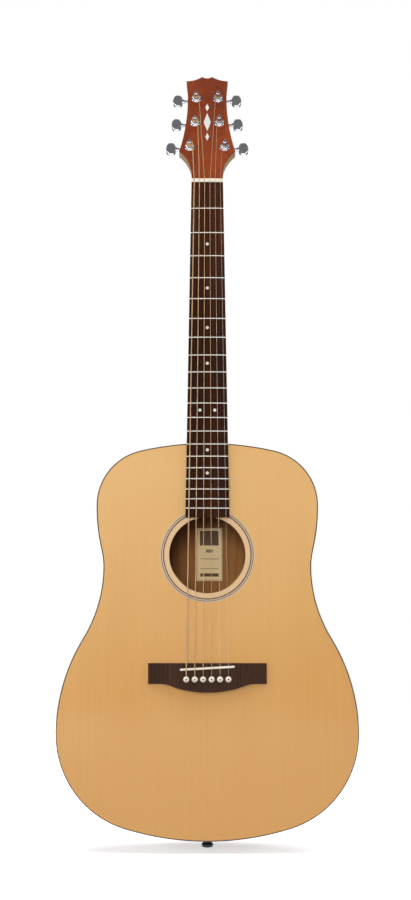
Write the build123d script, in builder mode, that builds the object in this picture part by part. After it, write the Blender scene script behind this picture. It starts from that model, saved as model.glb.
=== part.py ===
"""Steel-string acoustic guitar with a dreadnought body, in millimetres.

Frame: +Z runs up the neck, the soundboard faces -Y and +X is the treble side.
The origin lies where the nut meets the fretboard, on the neck's centre line,
in the plane where the fretboard is glued to the neck. That plane is also the
front face of the soundboard. Strings are numbered from 1 (treble) to 6 (bass).
"""

from build123d import *
from math import acos, asin, cos, degrees, exp, hypot, radians, sin, tan
import os

# ---------------------------------------------------------------- overall
scale_length = 650.0          # nut to saddle, before compensation
body_fret = 14                # the body starts at about this fret
body_top_rise = 2.0           # the body's top edge stands this far above that fret

# body outline: half widths, and how far down each station lies from the body's top edge
body_length = 508.5
upper_half, upper_station = 145.2, 81.8
waist_half, waist_station = 135.2, 164.4
lower_half, lower_station = 193.7, 374.3
shoulder_radius = 73.6        # above the upper bout's widest line
upper_flank_radius = 250.0    # below it
lower_flank_radius = 229.7    # above the lower bout's widest line
corner_radius = 123.9         # below it

# body depth
depth_at_neck = 100.0
depth_at_tail = 120.0
back_dome_radius = 4570.0
top_thickness = 2.8
back_thickness = 3.0
side_thickness = 2.3
binding_width, binding_depth, binding_bevel = 1.5, 6.0, 0.6
lining_width, lining_depth = 6.5, 14.0

# soundhole and its inlay rings: inner and outer radius of each
soundhole_radius = 49.8
soundhole_down = 506.2        # from the nut
inlay_depth = 0.8
pale_rings = ((soundhole_radius, 56.2), (57.9, 59.3), (60.2, 61.8))
dark_rings = ((56.2, 57.9), (59.3, 60.2))

# neck and fretboard
nut_width, nut_thickness, nut_round = 43.0, 5.0, 0.5
fretboard_end_width = 57.5
fretboard_length = 457.5
fretboard_thickness = 6.2
crown_radius = 400.0
fret_count = 20
fret_width, fret_height = 2.2, 1.05
tang_width, tang_depth = 0.6, 1.6
fret_end_inset = 0.25
dot_frets, pair_fret, pair_half = (3, 5, 7, 9, 12, 15, 17), 12, 9.8   # two dots before the octave
face_dot_radius, side_dot_radius, dot_sink = 2.1, 1.0, 1.2
neck_depth_at_nut, neck_depth_at_body = 15.0, 17.5
neck_cheek = 1.2              # straight edge of the neck's section beside the fretboard
blend_start, blend_end = 34.0, 18.0   # below and above the nut, the neck turns into the headstock
blend_swell = 0.2             # the neck is this much deeper where the blend starts
blend_middle_cheek = 2.2
blend_nut_cheek, blend_nut_bow = 5.0, 9.8      # straight edge and oval depth at the nut
blend_head_cheek, blend_head_bow = 12.6, 3.0   # and where the blend ends
heel_back = 96.5              # how far the heel reaches back from the glue plane
heel_cap_thickness = 2.5
heel_cap_half, heel_cap_length = 13.0, 17.0
heel_flare, heel_flare_depth, heel_taper = 58.0, 15.0, 1.6   # how the heel spreads into the neck
heel_stations = (0, 5, 10, 16, 23, 31, 40, 50, 61, 73, 85, heel_back)
heel_foot = 6.0               # the heel and the shaft run this far past the body's edge
tenon_length, tenon_depth = 18.0, 80.0
tenon_neck_half, tenon_end_half = 9.0, 12.0

# headstock, in its own tilted plane
head_tilt = 13.0
head_wood, head_overlay = 12.5, 1.5
head_edge = 0.5               # bevel round the headstock's face
head_length = 172.5           # to the two peaks of its crest
head_corner_half, head_corner_up = 38.8, 46.5
head_waist_half, head_waist_up = 27.2, 134.0
head_top_half, head_top_up = 29.2, 165.0
head_peak_half, head_dip_up = 7.0, 170.0
# a point on each curve of its edge: half width and height
head_flare_point, head_side_point = (26.6, 30.2), (29.9, 91.0)
head_shoulder_point, head_crest_point = (27.6, 150.0), (17.8, 166.9)
head_start_inset = 0.3        # narrower than the nut by this much on each side
head_flare_start = 12.0       # the sides are straight up to here
head_slab_start = 8.0         # the headstock's own wood starts here, inside the neck
# inlaid lozenges: half width, half height and place along the headstock
lozenges = ((5.0, 15.0, 95.0), (2.6, 6.5, 119.5), (2.6, 6.5, 70.5))

# strings, treble to bass
string_diameters = (0.30, 0.41, 0.61, 0.81, 1.07, 1.35)
string_count = len(string_diameters)
nut_spread, saddle_spread = 35.4, 54.0
nut_string_lift = 0.35        # underside of the strings above the fret tops, at the nut
ball_radius, ball_length = 1.9, 3.6
string_bends = (1.0, 1.2, 2.0, 3.0)   # bend radii from the ball to the nut
winding_turns = 2             # turns below the string's own one on its post
winding_lift, turn_gap = 0.3, 0.06    # above the collar; between neighbouring turns
own_turn_gap, own_turn_angle = 0.1, 330   # the string's own turn round the post

# bridge, saddle and pins
bridge_width, bridge_wing_depth, bridge_belly_depth = 152.0, 26.2, 36.9
bridge_top_down = 645.2
bridge_thickness, bridge_wing_thickness = 8.5, 4.0
saddle_length, saddle_thickness, saddle_rise = 70.6, 2.9, 2.9
saddle_slot_depth, saddle_round = 5.0, 1.2
saddle_down, saddle_slant = 651.7, 3.16
pin_down = 665.7
pin_radius, pin_clearance, pin_head_radius = 2.5, 0.08, 3.9
pin_length, pin_head_height = 22.0, 3.4
pin_head_rim, pin_dome = 0.6, (3.12, 2.3)   # straight rim; a point on the dome: radius, height
pin_seat_gap = 0.15           # under the head
pin_tip_bevel = (0.6, 1.5)    # across and along
bridge_plate_thickness, bridge_plate_width, bridge_plate_depth = 2.8, 104.0, 40.0
bridge_full_half, bridge_wing_corner = 46.0, 16.0   # half width at full thickness; straight wing ends
bridge_fall = (58.0, 5.2)                # a point on the wing's falling top: across, height
belly_curve = ((50.0, 9.2), (39.6, 5.5), (28.0, 2.7), (14.0, 0.65))   # across, above the lowest point
bridge_edge_round = 0.9
string_gap = 0.06             # between a string and the saddle
slot_depth = 1.9              # a string leaves its pin this far below the bridge's top
groove_clearance = 0.15       # around a string, in the pins and the bridge
nut_groove_clearance = 0.05

# tuners
post_places = ((24.2, 54.2), (16.9, 94.7), (15.2, 135.4))   # lowest pair to highest
post_radius, post_rise, post_clearance = 3.0, 14.5, 0.06
post_tip_bevel = 0.8
bushing_radius, bushing_bore_clearance = 5.0, 0.08
washer_radius, washer_thickness, washer_bevel = 7.0, 0.8, 0.4
bushing_hex_radius, bushing_hex_height, bushing_sleeve = 5.8, 2.5, 8.0
bushing_hex_bevel = 0.5
worm_offset = 9.0             # worm axis above the post axis, along the headstock
worm_depth = 6.0              # worm axis behind the headstock's rear face
worm_radius, worm_half_length = 3.0, 5.0
worm_grooves, worm_groove_width, worm_groove_depth = (-3.6, -1.8, 0.0, 1.8, 3.6), 0.8, 0.7
wheel_radius, wheel_thickness = 5.6, 3.2
wheel_teeth = 14
housing_width, housing_depth, housing_wall = 15.2, 11.5, 1.2
housing_ear_radius, housing_ear_thickness = 3.6, 2.2
housing_round = 2.2           # radius of the cover's rear edge
shaft_radius, shaft_clearance = 2.2, 0.08
button_reach = 26.3           # post axis to button centre
button_half_width, button_half_height, button_thickness = 6.4, 9.4, 7.6
button_flat, button_shoulder = 5.0, 3.4   # half lengths of the button's side and end facets
button_corner_round, button_edge_round = 2.2, 2.4
screw_radius, screw_head_radius, screw_bite = 1.2, 2.4, 8.0
stub_radius = 1.3             # the shaft's far end, in the housing's wall
post_hole_radius, post_hole_drop = 0.85, 2.6   # the string's hole, below the post's tip
ear_reach = housing_width / 2 + 2.8   # post axis to the ear's screw

# truss rod
rod_width, rod_depth_size, rod_sink = 6.0, 8.0, 3.8
rod_nut_flats, rod_nut_length, rod_socket_flats = 8.0, 12.0, 5.0
rod_stub_radius, rod_nut_clearance = 2.0, 0.06
rod_start = -8.0              # the rod's end below the nut
rod_reach = 1.0               # the rod stands this far out of the neck block
rod_nut_gap = 0.3

# frame inside the body
neck_block_half, neck_block_length = 38.0, 60.0
tail_block_half, tail_block_length = 42.0, 18.0
brace_width, brace_height = 8.0, 14.0
back_brace_width, back_brace_height = 9.0, 13.0
back_brace_downs = (428.0, 570.0, 665.0, 770.0)   # from the nut
x_brace_drop = 28.0           # the crossing lies this far below the soundhole's edge
x_brace_angle = 48.0
x_brace_shift = 78.0          # from the crossing to the middle of each long bar
x_brace_length = 400.0
upper_brace_rise = 14.0       # above the soundhole's edge
brace_end_height, brace_ramp = 3.0, 0.28   # thin ends; share of the length that each ramp takes
brace_gap = 1.0               # from a brace's end to the lining
end_pin_back, end_pin_radius = 60.0, 4.0
end_pin_waist, end_pin_flange, end_pin_knob = 4.5, 7.0, 7.8
# distances from the tail to the flange's edge, both ends of the waist, the knob's widest
# line and its two ends
end_pin_stations = (2.0, 3.5, 9.0, 12.2, 15.5, 16.0)
label_size, label_offset_x, label_down = (35.5, 72.7), 3.0, 497.8
label_thickness = 0.2

os.makedirs("parts", exist_ok=True)
written = []


def save(builder, name):
    """Labels a finished piece and writes it as parts/name.step."""
    builder.part.label = name
    export_step(builder.part, f"parts/{name}.step")
    written.append(name)


# ---------------------------------------------------------------- derived places
def fret_down(number):
    """Distance of a fret below the nut."""
    return scale_length * (1 - 2 ** (-number / 12))


body_top = -(fret_down(body_fret) - body_top_rise)
body_tail = body_top - body_length
upper_z = body_top - upper_station
waist_z = body_top - waist_station
lower_z = body_top - lower_station
soundhole_z = -soundhole_down
saddle_z = -saddle_down
pin_z = -pin_down
neck_block_end = body_top - side_thickness - neck_block_length

fretboard_crown_y = -fretboard_thickness
fret_top_y = fretboard_crown_y - fret_height
nut_string_y = fret_top_y - nut_string_lift
saddle_top_y = -(bridge_thickness + saddle_rise)
crown_axis_y = fretboard_crown_y + crown_radius

# the back is part of a large ball whose surface passes through both depths at x = 0
back_run = (depth_at_tail - depth_at_neck) * 2 * back_dome_radius / body_length
dome_top_z = body_top - (back_run + body_length) / 2
dome_rise = (dome_top_z - body_top) ** 2 / (2 * back_dome_radius)
dome_centre = (0, depth_at_neck + dome_rise - back_dome_radius, dome_top_z)


def level(depth):
    """A sketch plane facing the player's audience, at the given depth behind the top."""
    return Plane.XZ.offset(-depth)


def fretboard_half(down):
    """Half width of the fretboard at a distance below the nut."""
    slope = (fretboard_end_width - nut_width) / fretboard_length
    return (nut_width + slope * down) / 2


def string_x(number, spread):
    """Sideways place of a string: 1 is on the treble side."""
    return spread * (0.5 - (number - 1) / (string_count - 1))


def crown_drop(x):
    """How far a surface of the crown's radius lies behind its highest line at x."""
    return x * x / (2 * crown_radius)


# ---------------------------------------------------------------- body outline
def on_circle(centre, radius, toward):
    """The point of a circle that lies in the direction of another point."""
    dx, dz = toward[0] - centre[0], toward[1] - centre[1]
    size = hypot(dx, dz)
    return (centre[0] + radius * dx / size, centre[1] + radius * dz / size)


def arc_middle(centre, radius, start, end):
    """The middle point of the shorter arc from start to end."""
    return on_circle(centre, radius, ((start[0] + end[0]) / 2, (start[1] + end[1]) / 2))


def cap_radius(half, rise, radius):
    """Radius of the arc across the axis that meets a corner arc of the given radius."""
    return ((half - radius) ** 2 + rise ** 2 - radius ** 2) / (2 * (rise - radius))


def waist_radius(step, run, radius):
    """Radius of the waist arc that meets a flank arc of the given radius."""
    return (step ** 2 + run ** 2) / (2 * step) - radius


def outline_arcs(inset=0.0):
    """The right half of the outline as (start, middle, end) arcs, from top to tail.

    Neighbouring arcs share a tangent, and an inset keeps their centres, so every
    smaller outline is parallel to the full one.
    """
    top_radius = cap_radius(upper_half, upper_station, shoulder_radius)
    tail_radius = cap_radius(lower_half, body_length - lower_station, corner_radius)
    upper_waist = waist_radius(upper_half - waist_half, waist_station - upper_station,
                               upper_flank_radius)
    lower_waist = waist_radius(lower_half - waist_half, lower_station - waist_station,
                               lower_flank_radius)
    # centre and radius of each arc; a hollow arc has a negative radius
    circles = (
        ((0, body_top - top_radius), top_radius),
        ((upper_half - shoulder_radius, upper_z), shoulder_radius),
        ((upper_half - upper_flank_radius, upper_z), upper_flank_radius),
        ((waist_half + upper_waist, waist_z), -upper_waist),
        ((waist_half + lower_waist, waist_z), -lower_waist),
        ((lower_half - lower_flank_radius, lower_z), lower_flank_radius),
        ((lower_half - corner_radius, lower_z), corner_radius),
        ((0, body_tail + tail_radius), tail_radius),
    )
    centres = [centre for centre, _ in circles]
    radii = [abs(radius - inset) for _, radius in circles]
    joints = [
        (0, body_top - inset),
        on_circle(centres[0], radii[0], (centres[1][0] + (centres[1][0] - centres[0][0]),
                                         centres[1][1] + (centres[1][1] - centres[0][1]))),
        (upper_half - inset, upper_z),
        on_circle(centres[2], radii[2], centres[3]),
        (waist_half - inset, waist_z),
        on_circle(centres[5], radii[5], centres[4]),
        (lower_half - inset, lower_z),
        on_circle(centres[7], radii[7], (2 * centres[6][0] - centres[7][0],
                                         2 * centres[6][1] - centres[7][1])),
        (0, body_tail + inset),
    ]
    return [(joints[i], arc_middle(centres[i], radii[i], joints[i], joints[i + 1]), joints[i + 1])
            for i in range(len(circles))]


def body_outline(inset=0.0, mode=Mode.ADD):
    """Adds the whole body outline, moved inwards by inset, to the open sketch."""
    with BuildLine() as border:
        for start, middle, end in outline_arcs(inset):
            ThreePointArc(start, middle, end)
            ThreePointArc(*((-x, z) for x, z in (start, middle, end)))
    make_face(border.edges(), mode=mode)


def back_ball(inward, mode):
    """The ball that shapes the back, made smaller by inward."""
    with Locations(dome_centre):
        Sphere(back_dome_radius - inward, mode=mode)


full_depth = depth_at_tail + 10.0


def neck_tenon(start_depth, end_depth, mode=Mode.ADD):
    """Adds or cuts the dovetail that joins the neck to its block."""
    root = body_top + 1.0
    tip = body_top - tenon_length
    with BuildSketch(level(start_depth)) as tenon_face:
        Polygon((-tenon_neck_half, root), (tenon_neck_half, root), (tenon_end_half, tip),
                (-tenon_end_half, tip), align=None)
    extrude(tenon_face.sketch, amount=start_depth - end_depth, mode=mode)


def rod_channel(start_z, end_z, mode=Mode.SUBTRACT):
    """Cuts the truss rod's channel down from the glue plane."""
    with Locations((0, 0, end_z)):
        Box(rod_width, rod_sink + rod_depth_size, start_z - end_z, mode=mode,
            align=(Align.CENTER, Align.MIN, Align.MIN))


def pin_places():
    """Centre of each bridge pin in the XZ plane, treble to bass."""
    return [(string_x(number, saddle_spread), pin_z) for number in range(1, string_count + 1)]


string_in_slot = pin_radius   # the string's axis lies this far in front of the pin's


def pin_holes(start_depth, end_depth):
    """Cuts the six pin holes, each with the notch that its string runs in."""
    for number, (x, z) in enumerate(pin_places(), start=1):
        diameter = string_diameters[number - 1]
        with BuildSketch(level(start_depth)) as hole:
            with Locations((x, z)):
                Circle(pin_radius + pin_clearance)
                Rectangle(diameter + 2 * groove_clearance,
                          string_in_slot + diameter / 2 + groove_clearance,
                          align=(Align.CENTER, Align.MIN))
        extrude(hole.sketch, amount=start_depth - end_depth, mode=Mode.SUBTRACT)


# ---------------------------------------------------------------- soundboard and rosette
def rings(pairs, mode=Mode.ADD):
    """Adds or cuts flat rings around the soundhole, sunk from the soundboard's face."""
    for inner, outer in pairs:
        with BuildSketch(level(0)) as ring:
            with Locations((0, soundhole_z)):
                Circle(outer)
                Circle(inner, mode=Mode.SUBTRACT)
        extrude(ring.sketch, amount=-inlay_depth, mode=mode)


with BuildPart() as soundboard:
    with BuildSketch(level(0)):
        body_outline(binding_width)
        with Locations((0, soundhole_z)):
            Circle(soundhole_radius, mode=Mode.SUBTRACT)
    extrude(amount=-top_thickness)
    rings(pale_rings + dark_rings, Mode.SUBTRACT)
    neck_tenon(-1, top_thickness + 1, Mode.SUBTRACT)
    pin_holes(-1, top_thickness + 1)
save(soundboard, "soundboard")

with BuildPart() as rosette_pale:
    rings(pale_rings)
save(rosette_pale, "rosette_pale_rings")

with BuildPart() as rosette_dark:
    rings(dark_rings)
save(rosette_dark, "rosette_dark_rings")


# ---------------------------------------------------------------- rim, back and bindings
def rim_band(outer_inset, inner_inset, start_depth, back_inset):
    """One closed band of the rim, from a depth to a surface parallel to the back."""
    with BuildSketch(level(start_depth)) as band:
        body_outline(outer_inset)
        body_outline(inner_inset, mode=Mode.SUBTRACT)
    extrude(band.sketch, amount=start_depth - full_depth)
    back_ball(back_inset, Mode.INTERSECT)


with BuildPart() as top_binding:
    with BuildSketch(level(0)):
        body_outline()
        body_outline(binding_width, mode=Mode.SUBTRACT)
    extrude(amount=-binding_depth)
    chamfer(top_binding.faces().sort_by(Axis.Y)[0].outer_wire().edges(), binding_bevel)
    neck_tenon(-1, binding_depth + 1, Mode.SUBTRACT)
save(top_binding, "top_binding")

with BuildPart() as back_binding:
    rim_band(0, binding_width, binding_depth, 0)
    back_ball(binding_depth, Mode.SUBTRACT)
    rear = back_binding.faces().filter_by(GeomType.SPHERE).sort_by(Axis.Y)[-1]
    chamfer(rear.outer_wire().edges(), binding_bevel)
save(back_binding, "back_binding")

with BuildPart() as rim_skin:
    rim_band(0, side_thickness, binding_depth, binding_depth)
with BuildPart() as rim_tongue:
    rim_band(binding_width, side_thickness, top_thickness, back_thickness)

for hand, side_name in ((-1, "left_side"), (1, "right_side")):
    with BuildPart() as side:
        add(rim_skin.part)
        add(rim_tongue.part)
        neck_tenon(0, tenon_depth, Mode.SUBTRACT)
        with Locations((hand * lower_half, -scale_length, 0)):
            Box(2 * lower_half, 4 * scale_length, 4 * scale_length, mode=Mode.INTERSECT)
        with Locations((0, end_pin_back, body_tail)):
            Cylinder(end_pin_radius, 4 * side_thickness, mode=Mode.SUBTRACT)
    save(side, side_name)

with BuildPart() as back_plate:
    with BuildSketch(level(depth_at_neck / 2)):
        body_outline(binding_width)
    extrude(amount=depth_at_neck / 2 - full_depth)
    back_ball(0, Mode.INTERSECT)
    back_ball(back_thickness, Mode.SUBTRACT)
save(back_plate, "back_plate")


# ---------------------------------------------------------------- frame inside the body
def inside_body(inset=side_thickness):
    """Keeps only what lies inside the rim and between the soundboard and the back."""
    with BuildSketch(level(top_thickness)) as room:
        body_outline(inset)
    extrude(room.sketch, amount=top_thickness - full_depth, mode=Mode.INTERSECT)
    back_ball(back_thickness, Mode.INTERSECT)


with BuildPart() as neck_block:
    with Locations((0, 0, neck_block_end)):
        Box(2 * neck_block_half, full_depth, neck_block_length + side_thickness,
            align=(Align.CENTER, Align.MIN, Align.MIN))
    inside_body()
    neck_tenon(0, tenon_depth, Mode.SUBTRACT)
    rod_channel(body_top, neck_block_end - 1)

with BuildPart() as tail_block:
    with Locations((0, 0, body_tail)):
        Box(2 * tail_block_half, full_depth, tail_block_length + side_thickness,
            align=(Align.CENTER, Align.MIN, Align.MIN))
    inside_body()
    with Locations((0, end_pin_back, body_tail)):
        Cylinder(end_pin_radius, 4 * tail_block_length, mode=Mode.SUBTRACT)

with BuildPart() as end_blocks:
    add(neck_block.part)
    add(tail_block.part)
save(end_blocks, "end_blocks")

with BuildPart() as linings:
    with BuildSketch(level(top_thickness)):
        body_outline(side_thickness)
        body_outline(side_thickness + lining_width, mode=Mode.SUBTRACT)
    extrude(amount=top_thickness - full_depth)
    back_ball(back_thickness, Mode.INTERSECT)
    with BuildPart(mode=Mode.PRIVATE) as hollow:
        with BuildSketch(level(top_thickness + lining_depth)):
            body_outline(side_thickness - 1)
        extrude(amount=top_thickness + lining_depth - full_depth)
        back_ball(back_thickness + lining_depth, Mode.INTERSECT)
    add(hollow.part, mode=Mode.SUBTRACT)
    with Locations((0, 0, body_top + 1)):
        Box(2 * neck_block_half, full_depth, neck_block_length,
            align=(Align.CENTER, Align.MIN, Align.MAX), mode=Mode.SUBTRACT)
    with Locations((0, 0, body_tail - 1)):
        Box(2 * tail_block_half, full_depth, tail_block_length + 10,
            align=(Align.CENTER, Align.MIN, Align.MIN), mode=Mode.SUBTRACT)
save(linings, "linings")


def top_brace(x, z, angle, length, height=brace_height, width=brace_width):
    """A bar glued under the soundboard, tapered to thin ends, turned by angle."""
    bar = Plane(origin=(x, top_thickness, z), x_dir=(cos(radians(angle)), 0, sin(radians(angle))),
                z_dir=(-sin(radians(angle)), 0, cos(radians(angle))))
    half, thin, ramp = length / 2, brace_end_height, brace_ramp * length
    with BuildSketch(bar) as side_view:
        Polygon((-half, 0), (half, 0), (half, thin), (half - ramp, height),
                (ramp - half, height), (-half, thin), align=None)
    extrude(side_view.sketch, amount=width / 2, both=True)


brace_inset = side_thickness + lining_width + brace_gap
x_cross_z = soundhole_z - soundhole_radius - x_brace_drop

with BuildPart() as x_brace:
    for hand in (-1, 1):
        angle = hand * x_brace_angle
        top_brace(hand * -x_brace_shift * cos(radians(x_brace_angle)),
                  x_cross_z - x_brace_shift * sin(radians(x_brace_angle)), angle, x_brace_length)
    inside_body(brace_inset)

transverse_z = soundhole_z + soundhole_radius + upper_brace_rise
with BuildPart() as upper_brace:
    top_brace(0, transverse_z, 0, 2 * upper_half)
    inside_body(brace_inset)
    with Locations((0, top_thickness, transverse_z)):
        Box(2 * rod_nut_flats, brace_height + 2, 3 * brace_width, mode=Mode.SUBTRACT,
            align=(Align.CENTER, Align.MIN, Align.CENTER))

with BuildPart() as top_braces:
    add(x_brace.part)
    add(upper_brace.part)
save(top_braces, "top_braces")

with BuildPart() as back_braces:
    for down in back_brace_downs:
        with Locations((0, full_depth, -down)):
            Box(3 * lower_half, full_depth - 60, back_brace_width,
                align=(Align.CENTER, Align.MAX, Align.CENTER))
    inside_body(brace_inset)
    back_ball(back_thickness + back_brace_height, Mode.SUBTRACT)
save(back_braces, "back_braces")

with BuildPart() as bridge_plate:
    with Locations((0, top_thickness, pin_z)):
        Box(bridge_plate_width, bridge_plate_thickness, bridge_plate_depth,
            align=(Align.CENTER, Align.MIN, Align.CENTER))
    pin_holes(-1, top_thickness + bridge_plate_thickness + 1)
    add(x_brace.part, mode=Mode.SUBTRACT)
save(bridge_plate, "bridge_plate")

with BuildPart() as label:
    with Locations((label_offset_x, 0, -label_down)):
        Box(label_size[0], full_depth, label_size[1],
            align=(Align.CENTER, Align.MIN, Align.CENTER))
    back_ball(back_thickness, Mode.INTERSECT)
    back_ball(back_thickness + label_thickness, Mode.SUBTRACT)
save(label, "label")

pin_plane = Plane(origin=(0, end_pin_back, body_tail), x_dir=(0, 1, 0), z_dir=(1, 0, 0))
end_pin_inner = tail_block_length + side_thickness
with BuildPart() as end_pin:
    with BuildSketch(pin_plane):
        with BuildLine():
            edge, waist_start, waist_end, widest, shoulder, tip = end_pin_stations
            Polyline((end_pin_waist, -waist_end), (end_pin_waist, -waist_start),
                     (end_pin_flange, -edge), (end_pin_flange, 0), (end_pin_radius, 0),
                     (end_pin_radius, end_pin_inner), (0, end_pin_inner), (0, -tip),
                     (end_pin_waist, -shoulder))
            ThreePointArc((end_pin_waist, -shoulder), (end_pin_knob, -widest),
                          (end_pin_waist, -waist_end))
        make_face()
    revolve(axis=Axis((0, end_pin_back, 0), (0, 0, 1)))
save(end_pin, "end_pin")


# ---------------------------------------------------------------- neck and headstock
tilt = radians(head_tilt)
head_plane = Plane(origin=(0, 0, nut_thickness), x_dir=(1, 0, 0),
                   z_dir=(0, -cos(tilt), sin(tilt)))
head_start_half = nut_width / 2 - head_start_inset


# curves of the headstock's right edge, from the nut to the crest
head_curves = (
    ((head_start_half, head_flare_start), head_flare_point, (head_corner_half, head_corner_up)),
    ((head_corner_half, head_corner_up), head_side_point, (head_waist_half, head_waist_up)),
    ((head_waist_half, head_waist_up), head_shoulder_point, (head_top_half, head_top_up)),
    ((head_top_half, head_top_up), head_crest_point, (head_peak_half, head_length)),
)


def head_outline(lift, start_up):
    """The headstock's outline on a plane parallel to its face, from start_up to the crest."""
    with BuildSketch(head_plane.offset(lift)) as outline:
        with BuildLine():
            for hand in (-1, 1):
                Line((hand * head_start_half, start_up), (hand * head_start_half, head_flare_start))
                for start, middle, end in head_curves:
                    ThreePointArc(*((hand * half, up) for half, up in (start, middle, end)))
            ThreePointArc((-head_peak_half, head_length), (0, head_dip_up),
                          (head_peak_half, head_length))
            Line((-head_start_half, start_up), (head_start_half, start_up))
        make_face()
    return outline.sketch


def neck_section(z, half, cheek, bow):
    """A section across the neck: flat on the glue plane, straight cheeks, an oval back."""
    with BuildSketch(Plane.XY.offset(z)) as section:
        with BuildLine():
            Polyline((-half, cheek), (-half, 0), (half, 0), (half, cheek))
            EllipticalCenterArc((0, cheek), half, bow, arc_size=180)
        make_face()
    return section.sketch


def heel_section(depth, half, length):
    """A section along the heel: flat where it meets the body, an oval toward the neck."""
    foot = body_top - heel_foot
    with BuildSketch(level(depth)) as section:
        with BuildLine():
            Polyline((-half, body_top), (-half, foot), (half, foot), (half, body_top))
            EllipticalCenterArc((0, body_top), half, length, arc_size=180)
        make_face()
    return section.sketch


def heel_half(depth):
    """Half width of the heel at a depth behind the glue plane."""
    at_top = fretboard_half(-body_top)
    return heel_cap_half + (at_top - heel_cap_half) * (1 - depth / heel_back) ** heel_taper


def heel_length(depth):
    """How far the heel runs up the neck at a depth behind the glue plane."""
    return heel_cap_length + heel_flare * exp(-depth / heel_flare_depth)


def cut_body_away():
    """Cuts the space of the whole body, so that the heel follows the rim."""
    with BuildSketch(level(0)) as body_face:
        body_outline()
    extrude(body_face.sketch, amount=-2 * full_depth, mode=Mode.SUBTRACT)


tuner_places = [(hand * x, up, hand) for hand in (-1, 1) for x, up in post_places]

with BuildPart() as neck:
    shaft_end = body_top - heel_foot
    with BuildPart(mode=Mode.PRIVATE) as shaft:
        loft([neck_section(-blend_start, fretboard_half(blend_start), neck_cheek,
                           neck_depth_at_nut + blend_swell - neck_cheek),
              neck_section(shaft_end, fretboard_half(-shaft_end), neck_cheek,
                           neck_depth_at_body - neck_cheek)])
    with BuildPart(mode=Mode.PRIVATE) as blend:
        loft([neck_section(-blend_start, fretboard_half(blend_start), neck_cheek,
                           neck_depth_at_nut + blend_swell - neck_cheek),
              neck_section(-blend_start / 2, fretboard_half(blend_start / 2), blend_middle_cheek,
                           neck_depth_at_nut - blend_middle_cheek),
              neck_section(0, nut_width / 2, blend_nut_cheek, blend_nut_bow),
              neck_section(blend_end, head_start_half, blend_head_cheek, blend_head_bow)])
    with BuildPart(mode=Mode.PRIVATE) as heel:
        loft([heel_section(depth, heel_half(depth), heel_length(depth))
              for depth in heel_stations])
    add(shaft.part)
    add(blend.part)
    add(heel.part)
    extrude(head_outline(0, head_slab_start), amount=-head_wood)
    with Locations(head_plane):
        Box(3 * nut_width, head_length + 20, 8 * head_wood, mode=Mode.SUBTRACT,
            align=(Align.CENTER, Align.MIN, Align.MIN))
    cut_body_away()
    neck_tenon(0, tenon_depth)
    rod_channel(rod_start, body_top - tenon_length - 1)
    for x, up, hand in tuner_places:
        with Locations(head_plane.location * Location((x, up, 0))):
            Cylinder(bushing_radius, 4 * head_wood, mode=Mode.SUBTRACT)
        with Locations(head_plane.location
                       * Location((x, up - ear_reach, -head_wood))):
            Cylinder(screw_radius, 2 * screw_bite, mode=Mode.SUBTRACT)
save(neck, "neck")

with BuildPart() as heel_cap:
    extrude(heel_section(heel_back, heel_cap_half, heel_cap_length), amount=-heel_cap_thickness)
    cut_body_away()
save(heel_cap, "heel_cap")

with BuildPart() as head_inlay_piece:
    with BuildSketch(head_plane.offset(head_overlay)):
        for wide, tall, up in lozenges:
            Polygon((0, up + tall), (wide, up), (0, up - tall), (-wide, up), align=None)
    extrude(amount=-inlay_depth)
save(head_inlay_piece, "headstock_inlay")

with BuildPart() as overlay:
    extrude(head_outline(0, -3.0), amount=head_overlay)
    face = overlay.faces().sort_by(Axis((0, 0, 0), head_plane.z_dir))[-1]
    chamfer(face.edges(), head_edge)
    with Locations((0, 0, nut_thickness)):
        Box(3 * nut_width, 8 * head_wood, 8 * head_wood, mode=Mode.SUBTRACT,
            align=(Align.CENTER, Align.CENTER, Align.MAX))
    for x, up, hand in tuner_places:
        with Locations(head_plane.location * Location((x, up, 0))):
            Cylinder(bushing_radius, 4 * head_wood, mode=Mode.SUBTRACT)
    add(head_inlay_piece.part, mode=Mode.SUBTRACT)
save(overlay, "headstock_overlay")


# ---------------------------------------------------------------- fretboard
def crown_ball(rise, mode=Mode.INTERSECT):
    """The long cylinder that crowns the fretboard, raised by rise above its surface."""
    with Locations((0, crown_axis_y, -fretboard_length / 2)):
        Cylinder(crown_radius + rise, 2 * scale_length, mode=mode)


def fret_half_angle(number):
    """Half of the angle that a fret spans about the crown's axis."""
    return degrees(asin((fretboard_half(fret_down(number)) - fret_end_inset) / crown_radius))


def dot_places():
    """Distance below the nut and sideways place of each position dot."""
    places = []
    for number in dot_frets:
        down = (fret_down(number) + fret_down(number - 1)) / 2
        for x in ((-pair_half, pair_half) if number == pair_fret else (0.0,)):
            places.append((x, down))
    return places


with BuildPart() as board_blank:
    with BuildSketch(level(0)):
        Polygon((-fretboard_half(0), 0), (fretboard_half(0), 0),
                (fretboard_half(fretboard_length), -fretboard_length),
                (-fretboard_half(fretboard_length), -fretboard_length), align=None)
    extrude(amount=fretboard_thickness + 1)
    crown_ball(0)

with BuildPart() as dots:
    for x, down in dot_places():
        with BuildSketch(level(fretboard_crown_y + dot_sink)):
            with Locations((x, -down)):
                Circle(face_dot_radius)
        extrude(amount=2 * dot_sink)
        side = -fretboard_half(down)
        with BuildSketch(Plane.YZ.offset(side - 1)):
            with Locations((-fretboard_thickness / 2, -down + x / 2)):
                Circle(side_dot_radius)
        extrude(amount=1 + dot_sink)
    add(board_blank.part, mode=Mode.INTERSECT)
save(dots, "position_dots")

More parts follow.
